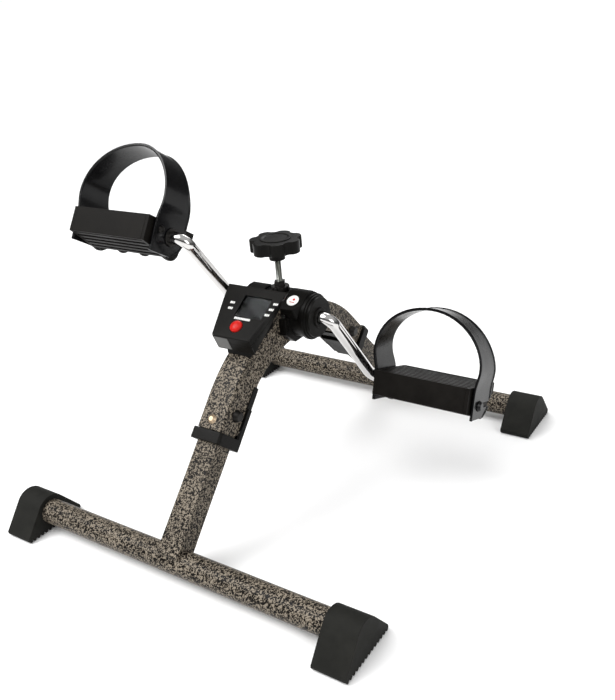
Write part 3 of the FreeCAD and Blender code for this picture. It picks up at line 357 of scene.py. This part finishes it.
def strap_vinyl():
    """Glossy black vinyl, slightly wavy."""
    finish = Finish("strap_vinyl", (0.0035, 0.0035, 0.004), 0.16, Specular_IOR_Level=0.17,
                    Coat_Weight=0.06, Coat_Roughness=0.05)
    wave = finish.noise(28, 2, 0.5)
    finish.set("Roughness", finish.span(wave, 0.3, 0.7, 0.16, 0.30))
    finish.bump(wave, 1.2 * MM, 0.35)
    finish.bump(finish.noise(900), 0.1 * MM, 0.2)


def chrome_rod():
    """Chrome plate over drawn rod, its sheen streaked along X."""
    streaks = (0.15, 1, 1)
    finish = Finish("chrome_rod", (0.62, 0.61, 0.60), 0.07, 1.0)
    drawn = finish.noise(300, 2, 0.5, where=finish.stretched(streaks))
    finish.set("Roughness", finish.span(drawn, 0.3, 0.7, 0.05, 0.13))
    finish.bump(finish.noise(70), 0.2 * MM, 0.2)


def plated(slot, colour, rough, tint):
    """Plated or blackened steel with a mottled sheen."""
    finish = Finish(slot, colour, rough, 1.0)
    cloud = finish.noise(220, 3, 0.6)
    finish.set("Base Color", finish.ramp(cloud, (0.3, colour), (0.7, tint)))
    finish.set("Roughness", finish.span(cloud, 0.3, 0.7, rough - 0.08, rough + 0.1))
    finish.bump(finish.noise(1500), 0.05 * MM, 0.3)


def printed(slot, colour, rough):
    """A printed label: flat colour with a faint paper grain."""
    finish = Finish(slot, colour, rough)
    grain = finish.noise(700)
    darker = tuple(channel * 0.9 for channel in colour)
    finish.set("Base Color", finish.ramp(grain, (0.4, darker), (0.6, colour)))
    finish.bump(grain, 0.05 * MM, 0.2)


def screen_glass():
    """Thin clear window with an uneven polish."""
    finish = Finish("screen_glass", (0.80, 0.82, 0.84), 0.03, Transmission_Weight=1.0, IOR=1.1,
                    Specular_IOR_Level=0.2)
    polish = finish.noise(90, 3, 0.6)
    finish.set("Roughness", finish.span(polish, 0.3, 0.7, 0.02, 0.08))


def red_plastic():
    """Glossy red of the button and of the badge's mark."""
    deep, bright = (0.42, 0.010, 0.007), (0.52, 0.014, 0.010)
    finish = Finish("red_plastic", (0.5, 0.012, 0.008), 0.3, Specular_IOR_Level=0.15,
                    Coat_Weight=0.05, Coat_Roughness=0.06)
    cloud = finish.noise(260)
    finish.set("Base Color", finish.ramp(cloud, (0.35, deep), (0.65, bright)))
    finish.bump(cloud, 0.1 * MM, 0.15)


hammered_paint()
foot_rubber()
strap_vinyl()
chrome_rod()
screen_glass()
red_plastic()
for slot, dark, light, rough, grain, deep in (
        ("black_plastic", (0.0030, 0.0028, 0.0024), (0.0062, 0.0058, 0.0050), 0.40, 1600, 0.12),
        ("knob_plastic", (0.0030, 0.0028, 0.0024), (0.0060, 0.0056, 0.0048), 0.34, 1500, 0.10),
        ("pedal_plastic", (0.0040, 0.0034, 0.0028), (0.0075, 0.0065, 0.0055), 0.46, 1400, 0.12),
        ("nylon", (0.010, 0.010, 0.011), (0.018, 0.018, 0.019), 0.42, 1500, 0.05),
        ("board_green", (0.02, 0.11, 0.05), (0.03, 0.15, 0.07), 0.4, 900, 0.05),
        ("display_grey", (0.030, 0.031, 0.030), (0.042, 0.043, 0.042), 0.3, 1200, 0.02)):
    moulded(slot, dark, light, rough, grain, deep * MM)
plated("zinc_steel", (0.30, 0.31, 0.28), 0.32, (0.42, 0.43, 0.40))
plated("yellow_zinc", (0.40, 0.30, 0.20), 0.46, (0.52, 0.41, 0.29))
plated("black_steel", (0.020, 0.019, 0.018), 0.38, (0.035, 0.033, 0.031))
printed("white_label", (0.82, 0.82, 0.80), 0.45)
printed("silver_label", (0.085, 0.085, 0.08), 0.4)


# ---------------------------------------------------------------- camera, floor and light

def camera():
    """Stand the camera to the right of the front end, looking down at the hub."""
    eye = Vector((0.4592, -0.6100, 0.494))
    right = Vector((0.833, 0.547, -0.081))
    ahead = Vector((-0.526, 0.741, -0.418)).normalized()
    up = right.cross(ahead).normalized()
    right = ahead.cross(up).normalized()
    bpy.ops.object.camera_add(location=eye)
    made = bpy.context.object
    turn = Matrix((right, up, -ahead)).transposed()
    made.matrix_world = Matrix.Translation(eye) @ turn.to_4x4()
    made.data.lens = 42.06
    made.data.clip_start = 0.01
    made.data.clip_end = 900
    bpy.context.scene.camera = made


def floor():
    """Pale floor just under the feet, out to the skyline."""
    bpy.ops.mesh.primitive_plane_add(size=600, location=(0, 0, -0.3 * MM))
    ground = fresh()
    ground.name = "studio_floor"
    pale = Finish("studio_pale", (0.90, 0.90, 0.90), 0.8, Specular_IOR_Level=0.1)
    pale.bump(pale.noise(30), 0.2 * MM, 0.1)
    ground.data.materials.append(pale.material)


def air():
    """Light from all round, dim below and bright above, before a plain white backdrop."""
    low, high = (0.25, 0.16), (0.65, 1.0)
    white = 1.8
    world = bpy.data.worlds.new("studio_air")
    bpy.context.scene.world = world
    world.use_nodes = True
    nodes, links = world.node_tree.nodes, world.node_tree.links
    sky = nodes["Background"]
    sky.inputs["Strength"].default_value = 0.6
    split = nodes.new("ShaderNodeSeparateXYZ")
    links.new(nodes.new("ShaderNodeTexCoord").outputs["Generated"], split.inputs["Vector"])
    shade = nodes.new("ShaderNodeValToRGB")
    for mark, (place, level) in zip(shade.color_ramp.elements, (low, high)):
        mark.position = place
        mark.color = (level, level, level, 1)
    links.new(split.outputs["Z"], shade.inputs["Fac"])
    backdrop = nodes.new("ShaderNodeMix")
    backdrop.data_type = "RGBA"
    backdrop.inputs[MIX_SECOND].default_value = (white, white, white, 1)
    seen = nodes.new("ShaderNodeLightPath").outputs["Is Camera Ray"]
    links.new(seen, backdrop.inputs["Factor"])
    links.new(shade.outputs["Color"], backdrop.inputs[MIX_FIRST])
    links.new(backdrop.outputs[MIX_RESULT], sky.inputs["Color"])


def soft_box(name, place, watts):
    """A square lamp turned to the middle of the object."""
    middle = Vector((0, 0, 0.12))
    bpy.ops.object.light_add(type="AREA", location=place)
    lamp = bpy.context.object
    lamp.name = name
    lamp.data.shape = "SQUARE"
    lamp.data.size = 0.8
    lamp.data.energy = watts
    lamp.rotation_euler = (middle - Vector(place)).to_track_quat("-Z", "Y").to_euler()


def lamps():
    """A broad soft sun from the front left and three soft boxes."""
    bpy.ops.object.light_add(type="SUN", rotation=(math.radians(24), math.radians(-20), 0))
    sun = bpy.context.object
    sun.name = "broad_sun"
    sun.data.energy = 2.5
    sun.data.angle = math.radians(60)
    soft_box("key_light", (-1.0, -1.0, 1.6), 15)
    soft_box("fill_light", (1.4, -0.6, 0.9), 9)
    soft_box("back_light", (-0.5, 1.4, 1.2), 7)
    bpy.context.scene.view_settings.view_transform = "Standard"


bpy.ops.object.select_all(action="DESELECT")
camera()
floor()
air()
lamps()


# ---------------------------------------------------------------- frame

# Cosines past which two directions count as parallel: strictly, and round a bend.
PARALLEL = 0.99
PARALLEL_ROUND_BEND = 0.97


def leg_run(way):
    """The direction up a leg."""
    return Vector((0, -way * math.cos(LEG_LEAN), math.sin(LEG_LEAN)))


def up_leg(point, way):
    """How far up a leg a point is from its crossbar axis."""
    axis = Vector((0, way * BAR_SPACING / 2, BAR_HEIGHT))
    return (point - axis).dot(leg_run(way))


def edge_run(edge):
    """An edge's direction and length as one vector."""
    return edge.verts[0].co - edge.verts[1].co


def runs_along(edge, direction):
    """Whether an edge is parallel to a direction."""
    return abs(edge_run(edge).normalized().dot(direction)) > PARALLEL


def round_tube(piece, radius, is_corner):
    """Roll the long square corners of a bent or straight tube."""
    square = 1.0

    def chosen(edge):
        return (len(edge.link_faces) == 2 and edge.is_convex
                and edge.calc_face_angle() > square and is_corner(edge))
    pick(piece, "EDGE", chosen)
    bpy.ops.mesh.bevel(offset=radius, segments=3, affect="EDGES", profile=0.5)
    leave()


def painted_arch():
    """The bent tube, rolled along its four corners above the mouths that take the legs."""
    piece = copied("arch", "arch_tube")
    bend = Vector((0, 0, BEND_HEIGHT))
    shortest = 3 * MM
    most_across = 0.1

    def is_corner(edge):
        middle = (edge.verts[0].co + edge.verts[1].co) / 2
        way = -1 if middle.y < 0 else 1
        run = edge_run(edge)
        if abs(run.x) > most_across * run.length or run.length < shortest:
            return False
        if all(up_leg(vert.co, way) < ARCH_MOUTH for vert in edge.verts):
            return False
        out = Vector((0, middle.y, middle.z)) - bend
        if abs(middle.y) > ARCH_RADIUS * math.sin(LEG_LEAN):
            out = Vector((0, way * math.sin(LEG_LEAN), math.cos(LEG_LEAN)))
        return any(abs(face.normal.dot(out.normalized())) > PARALLEL_ROUND_BEND
                   for face in edge.link_faces)
    round_tube(piece, 1.9 * MM, is_corner)
    ease(piece, 0.25 * MM, 1, 50)
    settle(piece, "frame", "hammered_paint", "arch")


def painted_leg(end):
    """A lower leg tube, rolled along its four corners."""
    piece = copied(f"{end}_leg_tube", f"{end}_leg")
    shortest = 60 * MM

    def is_corner(edge):
        return edge.calc_length() > shortest and runs_along(edge, leg_run(ENDS[end]))
    round_tube(piece, 2 * MM, is_corner)
    ease(piece, 0.25 * MM, 1, 50)
    settle(piece, f"{end}_leg", "hammered_paint", f"{end}_leg_tube")


def lock_slide(end):
    """Ring and lever of a lock: the ring's four corners along the leg are rolled first."""
    piece = copied(f"{end}_lock_slide", f"{end}_lock_ring")
    shortest, longest, out = 9 * MM, 13 * MM, 16 * MM

    def is_corner(edge):
        return (runs_along(edge, leg_run(ENDS[end])) and shortest < edge.calc_length() < longest
                and abs(edge.verts[0].co.x) > out)
    round_tube(piece, 3.2 * MM, is_corner)
    ease(piece, 0.6 * MM, 2, 40)
    settle(piece, f"{end}_lock", "black_plastic", f"{end}_lock_slide")


# ---------------------------------------------------------------- console

def set_on_console(piece):
    """Carry a piece drawn flat, x across and y up the slope, to the console's top."""
    take(piece)
    fix_place()
    piece.rotation_euler = (CONSOLE_SLOPE, 0, 0)
    piece.location = CONSOLE_EDGE


def upper_case():
    """Lid with its outer rim rolled more than the screen opening's."""
    piece = copied("console_upper_case", "console_lid")
    flat = Matrix.Rotation(-CONSOLE_SLOPE, 3, "X")
    left, right, near, far = -12 * MM, 24 * MM, 3 * MM, 52 * MM
    level, shortest = 0.2 * MM, 10 * MM

    def is_rim(edge):
        ends = [flat @ (vert.co - CONSOLE_EDGE) for vert in edge.verts]
        flush = all(abs(point.z) < level for point in ends)
        at_screen = all(left < point.x < right and near < point.y < far for point in ends)
        return flush and not at_screen and edge.calc_length() > shortest
    pick(piece, "EDGE", is_rim)
    bpy.ops.mesh.bevel(offset=1.1 * MM, segments=3, affect="EDGES")
    leave()
    ease(piece, 0.35 * MM, 2, 40)
    settle(piece, "frame", "black_plastic", "console_upper_case")


def mark_row(name, across, up, count):
    """A row of small raised white dashes."""
    wide, tall, thick, pitch = 1.25 * MM, 2.5 * MM, 0.3 * MM, 1.85 * MM
    dash = block((wide, tall, thick), (across, up, 0.10 * MM))
    fix_size()
    pick(dash, "EDGE", lambda edge: abs(edge_run(edge).z) > 0.2 * MM)
    bpy.ops.mesh.bevel(offset=0.4 * MM, segments=2, affect="EDGES")
    leave()
    repeat(dash, count, pitch)
    dash.name = name
    set_on_console(dash)
    settle(dash, "frame", "white_label")


def console_marks():
    """Plain dashes where the console is printed: across, up the slope, and how many."""
    for name, across, up, count in (
            ("mark_time", -19.5, 32, 3), ("mark_speed", -20.5, 38.5, 3),
            ("mark_count", 24, 31, 3), ("mark_total", 25.5, 37.5, 3),
            ("mark_energy", 27, 44, 3), ("mark_reset", -6.5, 22.3, 10)):
        mark_row(name, across * MM, up * MM, count)


def display_figures():
    """A row of plain noughts on the display, each a hollow bar figure."""
    wide, tall, bar, pitch = 4.2 * MM, 8 * MM, 0.9 * MM, 6.2 * MM
    middle, up, deep = 6.5 * MM, 37 * MM, 2.35 * MM
    count = 4
    start = middle - pitch * (count - 1) / 2
    bpy.ops.mesh.primitive_plane_add(size=1, location=(start, up, -deep))
    figure = fresh()
    figure.scale = (wide, tall, 1)
    fix_size()
    pick(figure, "FACE", every)
    bpy.ops.mesh.inset(thickness=bar, depth=0)
    bpy.ops.mesh.delete(type="FACE")
    leave()
    modify(figure, "SOLIDIFY", thickness=0.06 * MM, offset=-1)
    repeat(figure, count, pitch)
    figure.name = "display_figures"
    set_on_console(figure)
    settle(figure, "frame", "black_plastic")


# ---------------------------------------------------------------- hub badge

def hub_badge():
    """Round white sticker with a plain red dot and bar."""
    stand_in("hub_badge", "badge_disc", 0.08 * MM)
    low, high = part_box("hub_badge")
    proud = 0.2 * MM
    bpy.ops.mesh.primitive_cylinder_add(vertices=24, radius=1.3 * MM, depth=proud,
                                        location=(0.8 * MM, 1.2 * MM, proud))
    dot = fresh()
    bar = block((5.4 * MM, 0.8 * MM, proud), (0, -2.2 * MM, proud))
    fix_size()
    mark = join([dot, bar], "badge_mark")
    ease(mark, 0.05 * MM, 1)
    fix_place()
    mark.rotation_euler = (BADGE_SLOPE, 0, 0)
    mark.location = (low + high) / 2
    settle(mark, "frame", "red_plastic")


# ---------------------------------------------------------------- tension knob

def knob():
    """Lobed knob with rolled lobes and a raised, dished disc on top."""
    piece = copied("tension_knob", "knob_lobed")
    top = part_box("tension_knob")[1].z
    ease(piece, 1.0 * MM, 3, 50)
    bpy.ops.mesh.primitive_cylinder_add(vertices=64, radius=15.5 * MM, depth=1.6 * MM,
                                        location=(0, 0, top))
    disc = fresh()
    pick(disc, "FACE", lambda face: face.normal.z > 0.9)
    bpy.ops.mesh.inset(thickness=2.2 * MM, depth=0)
    bpy.ops.mesh.inset(thickness=1.2 * MM, depth=-0.7 * MM)
    leave()
    ease(disc, 0.4 * MM, 3)
    settle(join([piece, disc], "knob_lobed"), "tension_knob", "knob_plastic", "tension_knob")


def threaded_stud():
    """Stud with a real helical thread, drawn as one turn and screwed up its axis."""
    low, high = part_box("tension_stud")
    depth = 0.62 * MM
    turns = int((high.z - low.z) / STUD_PITCH) - 1
    steps = 20
    bpy.ops.mesh.primitive_circle_add(vertices=4, radius=1)
    piece = fresh()
    piece.name = "stud_thread"
    pick(piece, "VERT", lambda vert: vert.co.x < -0.5)
    bpy.ops.mesh.delete(type="VERT")
    leave()
    piece.scale = (depth, STUD_PITCH / 2, 1)
    piece.rotation_euler = (math.pi / 2, 0, 0)
    piece.location = (STUD_RADIUS - depth, 0, low.z + STUD_PITCH / 2)
    fix_place()
    modify(piece, "SCREW", screw_offset=STUD_PITCH, iterations=turns, steps=steps,
           render_steps=steps, use_merge_vertices=True, merge_threshold=0.01 * MM)
    pick(piece, "EDGE", lambda edge: len(edge.link_faces) == 1)
    bpy.ops.mesh.edge_face_add()
    bpy.ops.mesh.select_all(action="SELECT")
    bpy.ops.mesh.normals_make_consistent(inside=False)
    leave()
    settle(piece, "tension_knob", "zinc_steel", "tension_stud", smooth=50)


def toothed_nut():
    """Flange nut with raised teeth round its flange."""
    piece = copied("flange_nut", "nut_toothed")
    teeth = 16
    flange = 8 * MM

    def is_tooth(face):
        middle = face.calc_center_median()
        if abs(face.normal.z) > 0.1 or math.hypot(middle.x, middle.y) < flange:
            return False
        half_turns = (math.atan2(middle.y, middle.x) + math.pi) / math.pi
        return int(half_turns * teeth) % 2 == 0
    pick(piece, "FACE", is_tooth)
    bpy.ops.mesh.inset(thickness=0.15 * MM, depth=0.8 * MM)
    leave()
    ease(piece, 0.2 * MM, 1, 40)
    settle(piece, "frame", "black_steel", "flange_nut")


# ---------------------------------------------------------------- pedals

def smoothed(rows, passes):
    """Rows of numbers with the kinks between them softened, the first and last kept."""
    for _ in range(passes):
        inner = [tuple(sum(trio) / 3 for trio in zip(*rows[at - 1:at + 2]))
                 for at in range(1, len(rows) - 1)]
        rows = rows[:1] + inner + rows[-1:]
    return rows


def between(knots, z):
    """A value read off a line through knots of height and value."""
    for (low, first), (high, last) in zip(knots, knots[1:]):
        if z <= high:
            return first + (last - first) * max(0, z - low) / (high - low)
    return knots[-1][1]


def strap_run(hand):
    """The band's run from its inner foot over the crest to its outer foot.

    Each row holds how far the band is from the exerciser's middle, how high it is above the
    spindle, and how far its front and rear edges are behind the spindle, in millimetres.
    """
    inner, outer = 85.7, 190.3
    foot, waist, spring, crest_z = -19, 12, 30, 81.7
    bulge = 4.5
    half = 15
    upright_steps, flare_steps, over_steps = 8, 6, 14
    crest = (inner + outer) / 2 + STRAP_CREST[hand]
    lean = STRAP_LEAN[hand]
    front = [(foot, -25), (10, -26), (42, -24 - lean / 5), (87, -half - lean)]
    rear = [(foot, 4), (-15, 14), (-4, 20), (18, 17), (48, half - 2 - lean * 0.4),
            (87, half - lean)]

    def side(x, way):
        upright = [(x, foot + (waist - foot) * at / upright_steps)
                   for at in range(upright_steps)]
        flare = [(x + way * bulge * at / flare_steps, waist + (spring - waist) * at / flare_steps)
                 for at in range(flare_steps)]
        reach = abs(crest - x - way * bulge)
        turns = [math.pi / 2 * at / over_steps for at in range(over_steps)]
        over = [(crest + way * reach * math.cos(turn), spring + (crest_z - spring) * math.sin(turn))
                for turn in turns]
        return upright + flare + over
    path = side(inner, -1) + [(crest, crest_z)] + side(outer, 1)[::-1]
    return smoothed([(x, z, between(front, z), between(rear, z)) for x, z in path], 3)


def strap_band(hand, placed):
    """The band itself: a grid laid along its run, with a raised lip along both edges."""
    rows = strap_run(hand)
    lip = 0.8
    lip_share = 0.93
    lanes = (-1, -0.955, -0.91, 0, 0.91, 0.955, 1)
    last_row, last_lane = len(rows) - 1, len(lanes) - 1
    bpy.ops.mesh.primitive_grid_add(x_subdivisions=last_row, y_subdivisions=last_lane, size=2)
    band = fresh()
    for vert in band.data.vertices:
        at = round((vert.co.x + 1) / 2 * last_row)
        share = lanes[round((vert.co.y + 1) / 2 * last_lane)]
        x, z, front, rear = rows[at]
        before, after = rows[max(0, at - 1)], rows[min(last_row, at + 1)]
        out = Vector((before[1] - after[1], after[0] - before[0])).normalized()
        raised = lip if abs(share) > lip_share else 0
        vert.co = placed(x + out.x * raised, (front + rear) / 2 + share * (rear - front) / 2,
                         z + out.y * raised)
    modify(band, "SOLIDIFY", thickness=2.1 * MM, offset=0, use_even_offset=True)
    pick(band, "FACE", every)
    bpy.ops.mesh.normals_make_consistent(inside=False)
    leave()
    return band


def toe_strap(hand):
    """Glossy band with a hole for the spindle and a hooked slot for the stud."""
    side = HANDS[hand]
    pitch = -PEDAL_PITCH[hand]
    spindle = AXLE + side * turned((0, 0, -CRANK_RADIUS), CRANK_TURN)
    hole_x, slot_x, slot_wide = 86, 192, 16
    slot_parts = ((8, -6, 34, 5.2), (31, -4.8, 29, 7.6))

    def placed(x, y, z):
        return spindle + turned((side * x * MM, y * MM, z * MM), pitch)
    band = strap_band(hand, placed)
    bpy.ops.mesh.primitive_cylinder_add(vertices=32, radius=7 * MM, depth=24 * MM,
                                        rotation=(0, math.pi / 2, 0))
    hole = fresh()
    hole.location = placed(hole_x, 0, 0)
    fix_place()
    scoop(band, hole)
    for y, z, deep, high in slot_parts:
        slot = block((slot_wide * MM, deep * MM, high * MM), placed(slot_x, y, z), (pitch, 0, 0))
        fix_place()
        scoop(band, slot)
    ease(band, 0.3 * MM, 2, 50)
    band.name = f"strap_{hand}"
    settle(band, f"pedal_{hand}", "strap_vinyl", f"toe_strap_{hand}")


painted_arch()
upper_case()
console_marks()
display_figures()
hub_badge()
knob()
threaded_stud()
toothed_nut()
for end in ENDS:
    painted_leg(end)
    lock_slide(end)
for hand in HANDS:
    toe_strap(hand)

# Every other node keeps its own shape, its edges eased by so many millimetres.
MADE = {"arch", "console_upper_case", "hub_badge", "tension_knob", "tension_stud", "flange_nut",
        "front_leg_tube", "rear_leg_tube", "front_lock_slide", "rear_lock_slide",
        "toe_strap_left", "toe_strap_right"}
EASING = {"foot_rubber": 0.5, "black_plastic": 0.6, "pedal_plastic": 0.4, "black_steel": 0.4,
          "nylon": 0.2, "red_plastic": 0.4}
for node in sorted(set(frame["nodes"]) - MADE):
    stand_in(node, node + "_eased", EASING.get(SLOT_OF[node], 0) * MM)
